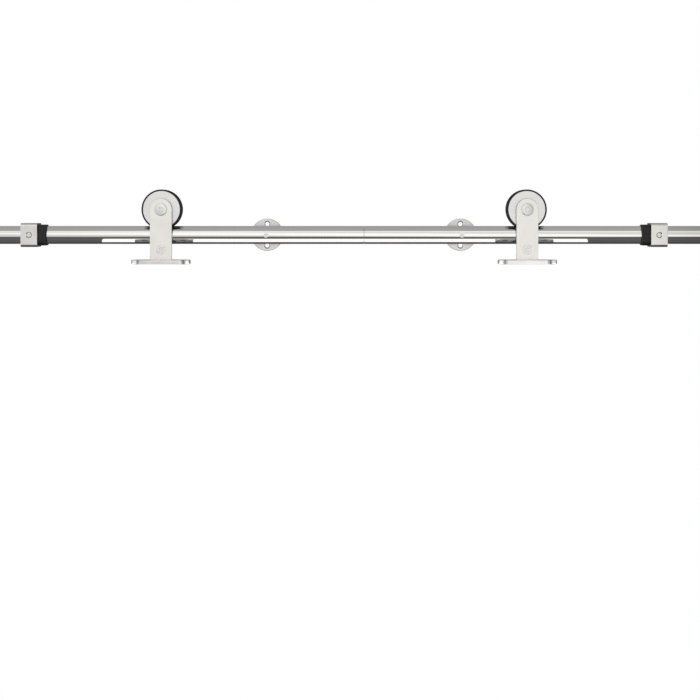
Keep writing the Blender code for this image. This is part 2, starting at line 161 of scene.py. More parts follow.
# %% Directions
TO_ROOM = Matrix.Rotation(math.radians(90), 4, "X")
TO_WALL = Matrix.Rotation(math.radians(-90), 4, "X")
TO_RIGHT = Matrix.Rotation(math.radians(90), 4, "Y")
TO_LEFT = Matrix.Rotation(math.radians(-90), 4, "Y")
UPRIGHT = Matrix.Identity(4)
# A section drawn as (y, z) and extruded along the rail.
ALONG_RAIL = Matrix(((0, 0, 1, 0), (1, 0, 0, 0), (0, 1, 0, 0), (0, 0, 0, 1)))


# %% Soften and put
def soften(shape, width, segments=3, where=None, least=30):
    """Bevels the edges that turn more than the least angle, or those that where() picks."""
    chosen = []
    for edge in shape.edges:
        if not edge.is_manifold or math.degrees(edge.calc_face_angle()) < least:
            continue
        if where is None or where((edge.verts[0].co + edge.verts[1].co) / 2):
            chosen.append(edge)
    bmesh.ops.bevel(shape, geom=chosen, offset=width, segments=segments, profile=0.5,
                    affect="EDGES", material=-1, clamp_overlap=True)
    return shape


def put(shape, facing, where):
    bmesh.ops.transform(shape, matrix=Matrix.Translation(where) @ facing, verts=shape.verts)
    return shape


# %% Drill
def to_object(shape, name):
    mesh = bpy.data.meshes.new(name)
    shape.to_mesh(mesh)
    shape.free()
    made = bpy.data.objects.new(name, mesh)
    scene.collection.objects.link(made)
    return made


def drill(shape, *bits, operation="DIFFERENCE"):
    """The shape with the bits cut away, or only what it shares with them."""
    blank = to_object(shape, "blank")
    tools = [to_object(tidy(bit), "bit") for bit in bits]
    for tool in tools:
        boolean = blank.modifiers.new("cut", "BOOLEAN")
        boolean.operation = operation
        boolean.solver = "EXACT"
        boolean.object = tool
    graph = bpy.context.evaluated_depsgraph_get()
    mesh = bpy.data.meshes.new_from_object(blank.evaluated_get(graph))
    result = bmesh.new()
    result.from_mesh(mesh)
    for used in (mesh, blank.data, *[tool.data for tool in tools]):
        bpy.data.meshes.remove(used)
    return tidy(result)


# %% Round bars and countersinks
def rod(radius, length, sides=48):
    """A straight bar centred on its length, round or, with six sides, hexagonal."""
    shape = bmesh.new()
    bmesh.ops.create_cone(shape, cap_ends=True, segments=sides, radius1=radius, radius2=radius,
                          depth=length)
    return shape


def countersink_bit(hole, mouth, depth):
    """A drill whose point is at -depth, and whose 90 degree cone is the mouth wide at 0."""
    past = 1 * MM
    pen = Pen(0, past, lathe=True)
    pen.lines((mouth + past, past), (hole, hole - mouth), (hole, -depth), (0, -depth))
    return pen.turn(64)


# %% [markdown]
# Publishing a piece
#
# A finished piece is shaded smooth between its creases, and a weighted normal keeps the
# flats flat beside their rounded edges. Then it is tied to the frame: which body it rides
# on, and which node it stands for.

# %% Publish
published = []


def publish(shape, name, material, body, slot, *nodes, crease=32):
    piece = to_object(tidy(shape), name)
    piece.data.materials.append(material)
    piece.data.shade_smooth()
    piece.data.set_sharp_from_angle(angle=math.radians(crease))
    even = piece.modifiers.new("even_shading", "WEIGHTED_NORMAL")
    even.keep_sharp = True
    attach(piece, body)
    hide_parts(*nodes)
    published.append(piece)
    print(f"{name}: {len(piece.data.polygons)} faces, rides on {body}")


# %% [markdown]
# Colours and nodes
#
# Colours are written as sRGB hex, as a paint chart gives them, and turned to linear by one
# function. One more function adds a node with its settings and links. Patterns read Object
# coordinates, which are metres here, so a pattern's scale is one over its real size.


# %% Colour and node helpers
def linear(code):
    """An sRGB hex colour as a linear RGBA value."""
    values = [int(code[index:index + 2], 16) / 255 for index in (1, 3, 5)]
    return (*[v / 12.92 if v <= 0.04045 else ((v + 0.055) / 1.055) ** 2.4 for v in values], 1)


def feed(tree, node, inputs):
    """Sets or links the live inputs of a node. A node as a value means its first live output."""
    live = [socket for socket in node.inputs if socket.enabled]
    for name, value in inputs.items():
        socket = live[name] if isinstance(name, int) else next(s for s in live if s.name == name)
        if isinstance(value, bpy.types.Node):
            value = next(output for output in value.outputs if output.enabled)
        if isinstance(value, bpy.types.NodeSocket):
            tree.links.new(value, socket)
        else:
            socket.default_value = value


def add(tree, kind, inputs=None, **settings):
    """Adds a node with its settings, then feeds its inputs."""
    node = tree.nodes.new("ShaderNode" + kind)
    for name, value in settings.items():
        setattr(node, name, value)
    feed(tree, node, inputs or {})
    return node


def new_material(name, colour, **values):
    """A material whose uniform values are set on the shader itself."""
    material = bpy.data.materials.new(name)
    material.use_nodes = True
    shader = material.node_tree.nodes["Principled BSDF"]
    shader.inputs["Base Color"].default_value = linear(colour)
    for socket, value in values.items():
        shader.inputs[socket].default_value = value
    return material, material.node_tree, shader


# %% [markdown]
# Where edges wear and take a painted highlight
#
# Handling polishes the edges of a brushed part, and dusts those of a rubber one. On steel the
# edge colour is lightened further, as a painted highlight where the bevels catch the light. A
# Bevel node gives the normal that the surface would have with a rounder edge. Where that
# leaves the true normal there is an edge. It depends on the shape alone, so it stays put.


# %% Edge mask
# Steel edges within this reach are lightened, partly as handling wear and partly as a painted highlight.
STEEL_WEAR_AND_HIGHLIGHT = 0.8 * MM
RUBBER_WEAR = 0.5 * MM


def edge_mask(tree, reach):
    """Near 1 within this reach of an edge, and 0 on flats."""
    rounder = add(tree, "Bevel", {"Radius": reach}, samples=4)
    true = add(tree, "NewGeometry").outputs["Normal"]
    same = add(tree, "VectorMath", {0: rounder, 1: true}, operation="DOT_PRODUCT")
    return add(tree, "MapRange", {"Value": same, "From Min": 0.995, "From Max": 0.85,
                                  "To Min": 0.0, "To Max": 1.0})


# %% [markdown]
# The steels' shared surface
#
# AISI 304 stainless is a pale, slightly warm grey metal. What tells a brushed plate from a
# turned disc or a drawn tube is only the path of its fine scratches. So each finish works
# out its own grain, and one function turns a grain into tone, roughness and relief.

# %% Stainless steel from a grain
CLOUD_SIZE = 25 * MM
# The steel's edge colour: handling wear, lightened further as a painted highlight.
WORN_AND_HIGHLIT_STEEL = "#F6F5F2"
# A noise texture seldom leaves this range.
NOISE_LOW, NOISE_HIGH = 0.3, 0.7


def stainless(tree, shader, where, grain, dark, light, roughness, relief, strength=0.35):
    """The grain sets tone, roughness and relief. Slow clouds vary them, and edges are lighter from wear and
    a painted highlight.
    """
    fine = add(tree, "MapRange", {"Value": grain, "From Min": NOISE_LOW, "From Max": NOISE_HIGH})
    slow = add(tree, "TexNoise", {"Vector": where, "Scale": 1 / CLOUD_SIZE, "Detail": 2.0})
    cloud = add(tree, "MapRange", {"Value": slow, "From Min": 0.35, "From Max": 0.65})
    near_edge = edge_mask(tree, STEEL_WEAR_AND_HIGHLIGHT)
    tone = add(tree, "Mix", {"Factor": fine, "A": linear(dark), "B": linear(light)}, data_type="RGBA")
    haze = add(tree, "Mix", {"Factor": cloud, "A": linear("#F3F2F0"), "B": linear("#FFFFFF")},
               data_type="RGBA")
    clouded = add(tree, "Mix", {"Factor": 1.0, "A": tone, "B": haze}, data_type="RGBA",
                  blend_type="MULTIPLY")
    # Edges take the lighter colour: part wear, part painted highlight.
    colour = add(tree, "Mix", {"Factor": near_edge, "A": clouded, "B": linear(WORN_AND_HIGHLIT_STEEL)}, data_type="RGBA")
    low, high = roughness
    brushed = add(tree, "Mix", {"Factor": fine, "A": low, "B": high})
    handled = add(tree, "MapRange", {"Value": cloud, "To Min": -0.02, "To Max": 0.03})
    hazy = add(tree, "Math", {0: brushed, 1: handled}, operation="ADD")
    rough = add(tree, "Mix", {"Factor": near_edge, "A": hazy, "B": 0.7 * low})
    bump = add(tree, "Bump", {"Strength": strength, "Distance": relief, "Height": grain})
    feed(tree, shader, {"Base Color": colour, "Roughness": rough, "Normal": bump})


# %% [markdown]
# Belt-brushed stainless
#
# The straps and stop blocks are finished on a belt of about 180 grit, which leaves parallel
# scratches. Real ones are about 0.05 mm wide. They are drawn 0.25 mm wide and 30 mm long
# here, because a finer grain would not show at this distance. The foot plates are ground
# finer, to about 400 grit, so their round ends mirror the room more sharply.

# %% Belt-brushed stainless
GRAIN_WIDTH = 0.25 * MM
GRAIN_LENGTH = 30 * MM
BELT_RELIEF = 0.012 * MM


def belt_brushed(name, along, dark, light, roughness):
    material, tree, shader = new_material(name, dark, Metallic=1.0, Roughness=sum(roughness) / 2)
    where = add(tree, "TexCoord").outputs["Object"]
    sizes = [GRAIN_LENGTH if axis == along else GRAIN_WIDTH for axis in "XYZ"]
    stretched = add(tree, "Mapping", {"Vector": where, "Scale": [1 / size for size in sizes]})
    grain = add(tree, "TexNoise", {"Vector": stretched, "Scale": 1.0, "Detail": 3.0})
    stainless(tree, shader, where, grain, dark, light, roughness, BELT_RELIEF)
    return material


strap_steel = belt_brushed("belt_brushed_stainless_strap", "Z", "#D7D4D0", "#E0DEDA", (0.27, 0.34))
block_steel = belt_brushed("belt_brushed_stainless_block", "X", "#CAC9C6", "#D5D4D1", (0.17, 0.23))
foot_steel = belt_brushed("fine_ground_stainless_foot", "X", "#C6C5C2", "#D3D2D0", (0.08, 0.15))

# %% [markdown]
# Lathe-turned stainless
#
# Discs, flanges and bolt heads were faced on a lathe, so their scratches are rings. A
# Mapping node brings the part's axis to zero and flattens its depth. The length of that
# vector is then the radius, and a one-dimensional noise of the radius gives the rings.

# %% Lathe-turned stainless
RING_PITCH = 0.35 * MM
RING_RELIEF = 0.010 * MM


def radius_about(tree, where, axis):
    """The distance from an axis that runs from the room to the wall."""
    centred = add(tree, "Mapping", {"Vector": where, "Scale": (1, 0, 1),
                                    "Location": (-axis.x, 0, -axis.z)})
    return add(tree, "VectorMath", {0: centred}, operation="LENGTH")


def lathe_turned(name, node, dark="#CCCBC9", light="#DAD9D7", roughness=(0.26, 0.34)):
    material, tree, shader = new_material(name, "#D0CDC7", Metallic=1.0, Roughness=0.30)
    where = add(tree, "TexCoord").outputs["Object"]
    radius = radius_about(tree, where, box_centre(node))
    rings = add(tree, "TexNoise", {"W": radius, "Scale": 1 / RING_PITCH, "Detail": 2.0},
                noise_dimensions="1D")
    stainless(tree, shader, where, rings, dark, light, roughness, RING_RELIEF)
    return material


disc_steel = {side: lathe_turned("lathe_turned_stainless_disc_" + side, side + "_wheel_disc_front")
              for side in SIDES}
fastener_steel = lathe_turned("machined_stainless_fastener", "rail_joiner", "#CDCBC7", "#DDDBD7")

# %% [markdown]
# Polished tube
#
# The rail is drawn and polished until it mirrors the room in long bands. A fine lengthwise
# grain and the haze of the wheels' track along its top keep it from looking like chrome.

# %% Polished stainless tube
TUBE_GRAIN_LENGTH = 120 * MM
TUBE_RELIEF = 0.004 * MM


def polished_tube():
    material, tree, shader = new_material("polished_stainless_tube", "#D3D2CF", Metallic=1.0,
                                          Roughness=0.10)
    where = add(tree, "TexCoord").outputs["Object"]
    scale = (1 / TUBE_GRAIN_LENGTH, 1 / GRAIN_WIDTH, 1 / GRAIN_WIDTH)
    stretched = add(tree, "Mapping", {"Vector": where, "Scale": scale})
    grain = add(tree, "TexNoise", {"Vector": stretched, "Scale": 1.0, "Detail": 3.0})
    fine = add(tree, "MapRange", {"Value": grain, "From Min": NOISE_LOW, "From Max": NOISE_HIGH})
    height = add(tree, "SeparateXYZ", {"Vector": where}).outputs["Z"]
    track = add(tree, "MapRange", {"Value": height, "From Min": 0.85 * RAIL_RADIUS,
                                   "From Max": RAIL_RADIUS, "To Min": 0.0, "To Max": 0.10})
    drawn = add(tree, "Mix", {"Factor": fine, "A": 0.035, "B": 0.075})
    rough = add(tree, "Math", {0: drawn, 1: track}, operation="ADD")
    tone = add(tree, "Mix", {"Factor": fine, "A": linear("#CDCCC9"), "B": linear("#D9D8D5")},
               data_type="RGBA")
    bump = add(tree, "Bump", {"Strength": 0.25, "Distance": TUBE_RELIEF, "Height": grain})
    feed(tree, shader, {"Base Color": tone, "Roughness": rough, "Normal": bump})
    return material


tube_steel = polished_tube()

# %% [markdown]
# Ground bearing steel
#
# Bearing rings and balls are hardened chrome steel, ground and lapped: a touch bluer and
# darker than stainless, and very smooth. The oil film on them makes the roughness patchy.


# %% Ground bearing steel
FILM_SIZE = 2.5 * MM


def ground_steel():
    material, tree, shader = new_material("ground_bearing_steel", "#BFC1C4", Metallic=1.0,
                                          Roughness=0.14)
    where = add(tree, "TexCoord").outputs["Object"]
    film = add(tree, "TexNoise", {"Vector": where, "Scale": 1 / FILM_SIZE, "Detail": 3.0})
    rough = add(tree, "MapRange", {"Value": film, "From Min": NOISE_LOW, "From Max": NOISE_HIGH,
                                   "To Min": 0.08, "To Max": 0.22})
    tone = add(tree, "Mix", {"Factor": film, "A": linear("#B6B8BB"), "B": linear("#C9CBCE")},
               data_type="RGBA")
    feed(tree, shader, {"Base Color": tone, "Roughness": rough})
    return material


bearing_steel = ground_steel()

# %% [markdown]
# Black nylon and black rubber
#
# The wheels' tyres are moulded nylon, satin with a fine spark-eroded texture. The bumpers
# are moulded rubber, duller and a touch warmer, with a coarse matt grain and chalky edges.
# One function makes both from their numbers.


# %% Moulded blacks
PATCH_SIZE = 9 * MM


def moulded(name, dark, light, edge, roughness, grain_size, relief, ior, gloss):
    low, high = roughness
    material, tree, shader = new_material(name, dark, Roughness=(low + high) / 2, IOR=ior)
    shader.inputs["Specular IOR Level"].default_value = gloss
    where = add(tree, "TexCoord").outputs["Object"]
    grain = add(tree, "TexNoise", {"Vector": where, "Scale": 1 / grain_size, "Detail": 3.0})
    cloud = add(tree, "TexNoise", {"Vector": where, "Scale": 1 / PATCH_SIZE, "Detail": 3.0})
    patch = add(tree, "MapRange", {"Value": cloud, "From Min": 0.35, "From Max": 0.65})
    tone = add(tree, "Mix", {"Factor": patch, "A": linear(dark), "B": linear(light)}, data_type="RGBA")
    near_edge = edge_mask(tree, RUBBER_WEAR)
    dusted = add(tree, "Mix", {"Factor": near_edge, "A": tone, "B": linear(edge)}, data_type="RGBA")
    rough = add(tree, "MapRange", {"Value": grain, "From Min": NOISE_LOW, "From Max": NOISE_HIGH,
                                   "To Min": low, "To Max": high})
    bump = add(tree, "Bump", {"Strength": 0.4, "Distance": relief, "Height": grain})
    feed(tree, shader, {"Base Color": dusted, "Roughness": rough, "Normal": bump})
    return material, tree, shader, patch


bumper_rubber = moulded("moulded_black_rubber", "#1A1919", "#232121", "#343231", (0.42, 0.60),
                        0.6 * MM, 0.05 * MM, 1.52, 0.30)[0]

# %% [markdown]
# The burnished groove
#
# Rolling on steel, the nylon in the bottom of each wheel's groove turns smooth and a little
# lighter. The radius about the wheel's axis says how deep in the groove a point lies.

# %% Nylon with a burnished groove
BURNISH_REACH = 2.5 * MM


def tyre_nylon(side):
    centre = box_centre(side + "_wheel_core")
    material, tree, shader, patch = moulded("moulded_black_nylon_" + side, "#0F0F10", "#151516",
                                            "#1C1C1E", (0.30, 0.42), 0.35 * MM, 0.02 * MM, 1.53, 0.22)
    where = add(tree, "TexCoord").outputs["Object"]
    radius = radius_about(tree, where, centre)
    root = centre.z - RAIL_RADIUS - CLEARANCE
    deep = add(tree, "MapRange", {"Value": radius, "From Min": root + BURNISH_REACH, "From Max": root})
    scuffed = add(tree, "Math", {0: deep, 1: patch}, operation="MULTIPLY")
    plain = {name: shader.inputs[name].links[0].from_socket for name in ("Base Color", "Roughness")}
    colour = add(tree, "Mix", {"Factor": scuffed, "A": plain["Base Color"], "B": linear("#2E2E2F")},
                 data_type="RGBA")
    rough = add(tree, "Mix", {"Factor": deep, "A": plain["Roughness"], "B": 0.24})
    feed(tree, shader, {"Base Color": colour, "Roughness": rough})
    return material


wheel_nylon = {side: tyre_nylon(side) for side in SIDES}
print("finishes:", len(bpy.data.materials))

# %% [markdown]
# The rail
#
# Each half is one tube. The lathe makes the ring and its chamfered ends, which meet as a
# fine dark seam. It is drilled for its two bracket bolts, countersunk where the heads lie
# flush, and tapped at the back for the set screw that locks the joiner.

# %% Rail tubes
TUBE_WALL = 1.5 * MM
SEAM_CHAMFER = 0.35 * MM
RAIL_STEPS = 128
SHANK = 2.5 * MM
BOLT_HEAD = box_size("rail_bolt_left").x / 2


def joiner_screw_bit(side):
    """Drills from the back of the rail for the set screw that locks the joiner."""
    screw = "joiner_screw_" + side
    bit = rod(box_size(screw).x / 2 + CLEARANCE, RAIL_RADIUS)
    return put(bit, TO_WALL, (box_centre(screw).x, RAIL_Y + RAIL_RADIUS, 0))


def rail_tube(side, facing, brackets):
    node = "rail_tube_" + side
    low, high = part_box(node)
    length = high.x - low.x
    pen = Pen(RAIL_RADIUS, length, lathe=True)
    pen.lines((RAIL_RADIUS, 0), (RAIL_RADIUS - TUBE_WALL, 0), (RAIL_RADIUS - TUBE_WALL, length))
    tube = soften(pen.turn(RAIL_STEPS), SEAM_CHAMFER, 2)
    put(tube, facing, (low.x if facing is TO_RIGHT else high.x, RAIL_Y, 0))
    bits = []
    for bracket in brackets:
        bit = countersink_bit(SHANK + CLEARANCE, BOLT_HEAD + CLEARANCE / 2, 3 * RAIL_RADIUS)
        bits.append(put(bit, TO_ROOM, (box_centre("rail_bolt_" + bracket).x, RAIL_Y - RAIL_RADIUS, 0)))
    bits.append(joiner_screw_bit(side))
    publish(drill(tube, *bits), node + "_polished", tube_steel, "rail_assembly", "polished_tube", node)


rail_tube("left", TO_LEFT, ("far_left", "left"))
rail_tube("right", TO_RIGHT, ("right", "far_right"))

# %% [markdown]
# Hexagon sockets and set screws
#
# Bolts and set screws are driven by a hexagon key. The socket is a six-sided bar cut into
# the head, with a conical lead-in at its mouth that guides the key. Every key size below is
# the width across the corners, which is 1.155 times the size that a key is sold by.


# %% Sockets and set screws
# The lead-in's two radii are shares of the width across corners, and its depth of the socket's.
LEAD_POINT = 0.30
LEAD_MOUTH = 0.53
LEAD_DEPTH = 0.6


def with_socket(shape, face, corners, depth):
    """Cuts a hexagon socket, this wide across its corners, down from the height of the face."""
    key = put(rod(corners / 2, 2 * depth, 6), UPRIGHT, (0, 0, face))
    lead = countersink_bit(LEAD_POINT * corners, LEAD_MOUTH * corners, LEAD_DEPTH * depth)
    put(lead, UPRIGHT, (0, 0, face))
    return drill(shape, key, lead)


def set_screw(node, length, corners):
    """A headless screw with a chamfered top, whose top is at height zero."""
    radius = box_size(node).x / 2
    screw = Pen(0, 0, lathe=True).lines((radius, 0), (radius, -length), (0, -length)).turn(64)
    return with_socket(soften(screw, 0.35 * MM, 2), 0, corners, 0.5 * length)


# %% [markdown]
# The joiner
#
# A sleeve inside the rail spans the seam. The two set screws at the back press on it, where
# they don't show from the room.

# %% Joiner and its set screws
SLEEVE_BORE = 7.5 * MM
JOINER_KEY = 3.4 * MM
low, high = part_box("rail_joiner")
length = high.x - low.x
sleeve_radius = (high.z - low.z) / 2
pen = Pen(sleeve_radius, length, lathe=True)
pen.lines((sleeve_radius, 0), (SLEEVE_BORE, 0), (SLEEVE_BORE, length))
sleeve = put(soften(pen.turn(), 0.8 * MM, 2), TO_RIGHT, (low.x, RAIL_Y, 0))
sleeve = drill(sleeve, *[joiner_screw_bit(side) for side in SIDES])
publish(sleeve, "rail_joiner_sleeve", fastener_steel, "rail_assembly", "satin_steel", "rail_joiner")
for side in SIDES:
    node = "joiner_screw_" + side
    low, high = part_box(node)
    screw = put(set_screw(node, high.y - low.y, JOINER_KEY), TO_WALL, (box_centre(node).x, high.y, 0))
    publish(screw, node + "_socketed", fastener_steel, "rail_assembly", "turned_steel", node)

# %% [markdown]
# End plugs
#
# A plug closes each open tube end. Its cap is slightly domed, so the outline starts with an
# arc from the axis to the rim.

# %% Domed end plugs
DOME_RISE = 1.2 * MM
PLUG_CAP = 3 * MM
PLUG_FIT = RAIL_RADIUS - TUBE_WALL - CLEARANCE
dome_radius = (RAIL_RADIUS ** 2 + DOME_RISE ** 2) / (2 * DOME_RISE)
dome_angle = math.degrees(math.asin(RAIL_RADIUS / dome_radius))
for side, facing in (("left", TO_LEFT), ("right", TO_RIGHT)):
    node = "rail_end_plug_" + side
    low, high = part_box(node)
    pen = Pen(0, 0, lathe=True).arc(0, -dome_radius, -dome_angle, 16)
    pen.lines((RAIL_RADIUS, -PLUG_CAP), (PLUG_FIT, -PLUG_CAP), (PLUG_FIT, low.x - high.x),
              (0, low.x - high.x))
    plug = put(soften(pen.turn(), 0.3 * MM, 2), facing, (high.x if side == "right" else low.x, RAIL_Y, 0))
    publish(plug, node + "_domed", fastener_steel, "rail_assembly", "satin_steel", node)

# %% [markdown]
# Wall brackets
#
# A flange lies on the wall, a post carries the rail, and a flush bolt runs from the front of
# the rail through the post into the flange. The post's end is cut to the rail's round with a
# bar of the rail's own radius. The two countersunk holes take the wall screws. They are
# empty, as on a kit before it is hung.

# %% Flanges
WALL_SCREW_HOLE = 3 * MM
WALL_SCREW_MOUTH = 4.6 * MM
WALL_SCREW_HEIGHT = 15 * MM
BOLT_BORE = SHANK + CLEARANCE


def wall_flange(bracket, steel):
    node = "wall_flange_" + bracket
    radius, thickness = box_size(node).x / 2, box_size(node).y
    pen = Pen(radius, thickness, lathe=True)
    flange = pen.lines((radius, 0), (BOLT_BORE, 0), (BOLT_BORE, thickness)).turn(128)
    soften(flange, 0.9 * MM, 4, where=lambda middle: middle.z > thickness / 2)
    bits = []
    for height in (WALL_SCREW_HEIGHT, -WALL_SCREW_HEIGHT):
        bit = countersink_bit(WALL_SCREW_HOLE, WALL_SCREW_MOUTH, 2 * thickness)
        bits.append(put(bit, UPRIGHT, (0, height, thickness)))
    flange = put(drill(flange, *bits), TO_ROOM, (box_centre(node).x, 0, 0))
    publish(flange, node + "_faced", steel, "rail_assembly", "satin_steel", node)


# %% Posts and rail bolts
def standoff_post(bracket, steel):
    node = "standoff_" + bracket
    low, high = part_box(node)
    radius = (high.x - low.x) / 2
    pen = Pen(radius, -low.y, lathe=True)
    post = pen.lines((radius, -high.y), (BOLT_BORE, -high.y), (BOLT_BORE, -low.y)).turn(72)
    saddle = put(rod(RAIL_RADIUS + CLEARANCE, 4 * radius, RAIL_STEPS), TO_RIGHT, (0, 0, -RAIL_Y))
    post = put(drill(soften(post, 0.4 * MM, 2), saddle), TO_ROOM, (box_centre(node).x, 0, 0))
    publish(post, node + "_saddled", steel, "rail_assembly", "satin_steel", node)


def flush_bolt(node, head, shank, steps, edge, key, key_depth):
    """A bolt with a 90 degree countersunk head that faces the room."""
    low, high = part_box(node)
    pen = Pen(0, -low.y, lathe=True)
    pen.lines((head, -low.y), (shank, -low.y - (head - shank)), (shank, -high.y), (0, -high.y))
    bolt = with_socket(soften(pen.turn(steps), edge, 2), -low.y, key, key_depth)
    return put(bolt, TO_ROOM, (box_centre(node).x, 0, box_centre(node).z))


def rail_bolt(bracket, steel):
    node = "rail_bolt_" + bracket
    bolt = flush_bolt(node, BOLT_HEAD, SHANK, 48, edge=0.12 * MM, key=3.6 * MM, key_depth=1.6 * MM)
    publish(bolt, node + "_flush", steel, "rail_assembly", "turned_steel", node)


for bracket in BRACKETS:
    steel = lathe_turned("lathe_turned_stainless_bracket_" + bracket, "wall_flange_" + bracket,
                         "#BEBDBB", "#CDCCCA")
    wall_flange(bracket, steel)
    standoff_post(bracket, steel)
    rail_bolt(bracket, steel)

# %% [markdown]
# The straps
#
# A strap is flat bar, rounded at the top about the wheel's axis, so its outline is a half
# circle and two corners. A countersink near the foot takes the flush bolt of the anti-jump
# pin, and a plain hole at the top takes the axle.

# %% Straps
PIN_BORE = 3.2 * MM
AXLE_BORE = 4.2 * MM
EDGE_BREAK = 0.5 * MM


def strap(side):
    node = side + "_strap"
    low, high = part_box(node)
    middle = (low + high) / 2
    half, thickness = (high.x - low.x) / 2, high.y - low.y
    axle_height = high.z - half
    pen = Pen(half, axle_height).arc(0, axle_height, 180, 64)
    bar = pen.lines((-half, low.z), (half, low.z)).plate(thickness)
    soften(bar, EDGE_BREAK, 3, where=lambda place: place.y > low.z + 1 * MM)
    axle_hole = put(rod(AXLE_BORE, 3 * thickness), UPRIGHT, (0, axle_height, 0))
    bolt = side + "_anti_jump_bolt"
    mouth = box_size(bolt).x / 2 + CLEARANCE
    pin_hole = put(countersink_bit(PIN_BORE, mouth, 2 * thickness), UPRIGHT,
                   (0, box_centre(bolt).z, thickness / 2))
    bar = put(drill(bar, axle_hole, pin_hole), TO_ROOM, (middle.x, middle.y, 0))
    publish(bar, node + "_brushed", strap_steel, side + "_hanger", "satin_steel", node)


for side in SIDES:
    strap(side)

# %% [markdown]
# Foot plates and welds
#
# An oblong with full round ends lies on the door's top edge. The strap stands on its middle
# and is welded from behind, so the joint in front stays crisp. The weld is a small
# quarter-round bead: a section extruded along the strap, with a ripple for each drop.

# %% Foot plates
DOOR_SCREW_HOLE = 3.25 * MM
DOOR_SCREW_MOUTH = 5.6 * MM
DOOR_SCREW_REACH = 27 * MM


def foot_plate(side):
    node = side + "_foot_plate"
    size = box_size(node)
    round_end = size.y / 2
    straight = size.x / 2 - round_end
    pen = Pen(straight, -round_end).arc(straight, 0, 180, 40).line(-straight, round_end)
    foot = soften(pen.arc(-straight, 0, 180, 40).plate(size.z), 0.6 * MM, 3)
    bits = []
    for reach in (-DOOR_SCREW_REACH, DOOR_SCREW_REACH):
        bit = countersink_bit(DOOR_SCREW_HOLE, DOOR_SCREW_MOUTH, 2 * size.z)
        bits.append(put(bit, UPRIGHT, (reach, 0, size.z / 2)))
    foot = put(drill(foot, *bits), UPRIGHT, box_centre(node))
    publish(foot, node + "_oblong", foot_steel, side + "_hanger", "satin_steel", node)


# %% Weld beads
WELD_LEG = 2.2 * MM
WELD_CUTS = 52
DROP_PITCH = 2.1 * MM
DROP_RIPPLE = 0.10


def weld_bead(side):
    low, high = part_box(side + "_strap")
    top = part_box(side + "_foot_plate")[1].z
    length = high.x - low.x - 3 * MM
    bead = Pen(0, 0).line(WELD_LEG, 0).arc(WELD_LEG, WELD_LEG, -90, 8).plate(length)
    lengthwise = [edge for edge in bead.edges if edge.calc_length() > length / 2]
    bmesh.ops.subdivide_edges(bead, edges=lengthwise, cuts=WELD_CUTS, use_grid_fill=True)
    for vert in bead.verts:
        ripple = 1 + DROP_RIPPLE * math.sin(math.tau * vert.co.z / DROP_PITCH)
        vert.co.x *= ripple
        vert.co.y *= ripple
    put(bead, ALONG_RAIL, ((low.x + high.x) / 2, high.y, top))
    publish(bead, side + "_weld_bead", fastener_steel, side + "_hanger", "satin_steel", crease=60)


for side in SIDES:
    foot_plate(side)
    weld_bead(side)

# %% [markdown]
# Anti-jump pins
#
# Just under the rail, behind the strap, a short pin keeps the wheel from lifting off. Its
# bolt is countersunk flush, so in front only a fine ring and the socket show.


# %% Anti-jump pins and their bolts
PIN_BOTTOM = 4 * MM


def anti_jump_pin(side):
    node = side + "_anti_jump_pin"
    low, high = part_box(node)
    radius, bore_end = (high.x - low.x) / 2, PIN_BOTTOM - high.y
    pen = Pen(PIN_BORE, -low.y, lathe=True)
    pen.lines((radius, -low.y), (radius, -high.y), (0, -high.y), (0, bore_end), (PIN_BORE, bore_end))
    pin = soften(pen.turn(64), 0.8 * MM, 3, where=lambda place: place.z < 1 * MM - high.y)
    put(pin, TO_ROOM, (box_centre(node).x, 0, box_centre(node).z))
    publish(pin, node + "_rounded", fastener_steel, side + "_hanger", "satin_steel", node)


def anti_jump_bolt(side):
    node = side + "_anti_jump_bolt"
    head = box_size(node).x / 2
    bolt = flush_bolt(node, head, PIN_BORE - CLEARANCE, 64, edge=0.2 * MM, key=5.8 * MM, key_depth=2 * MM)
    steel = lathe_turned("lathe_turned_stainless_pin_bolt_" + side, node)
    publish(bolt, node + "_flush", steel, side + "_hanger", "turned_steel", node)


for side in SIDES:
    anti_jump_pin(side)
    anti_jump_bolt(side)

# %% [markdown]
# Threads
#
# The axle's tail shows beyond its nut, so it gets a real M8 thread. Its cutter is a
# triangle spun up a helix, which is what spin does when each step also climbs.


# %% Thread cutter
def thread_bit(radius, pitch, low, high):
    """A helical V, closed at both ends, that cuts a thread into a bar along Z."""
    depth = 0.54 * pitch
    turns = (high - low) / pitch
    steps = round(32 * turns)
    bit = Pen(radius - depth, low, lathe=True)
    bit.lines((radius + 0.1 * depth, low + 0.47 * pitch), (radius + 0.1 * depth, low - 0.47 * pitch)).close()
    shape = bit.shape
    bmesh.ops.contextual_create(shape, geom=shape.edges[:])
    bmesh.ops.spin(shape, geom=shape.verts[:] + shape.edges[:] + shape.faces[:], cent=(0, 0, 0),
                   axis=(0, 0, 1), dvec=(0, 0, (high - low) / steps), angle=math.tau * turns, steps=steps)
    return shape


# %% [markdown]
# Axle bolts and nuts
#
# The axle is a low-head bolt through the strap, the spacers and the bearing, with a nut
# behind. The nut is a hexagonal bar, kept only where it lies inside a double cone, which
# gives the curved chamfer that every machined nut has.

# %% Axle bolts
THREAD_PITCH = 1.25 * MM
HEAD_RISE = 0.6 * MM
AXLE_KEY = 6.93 * MM


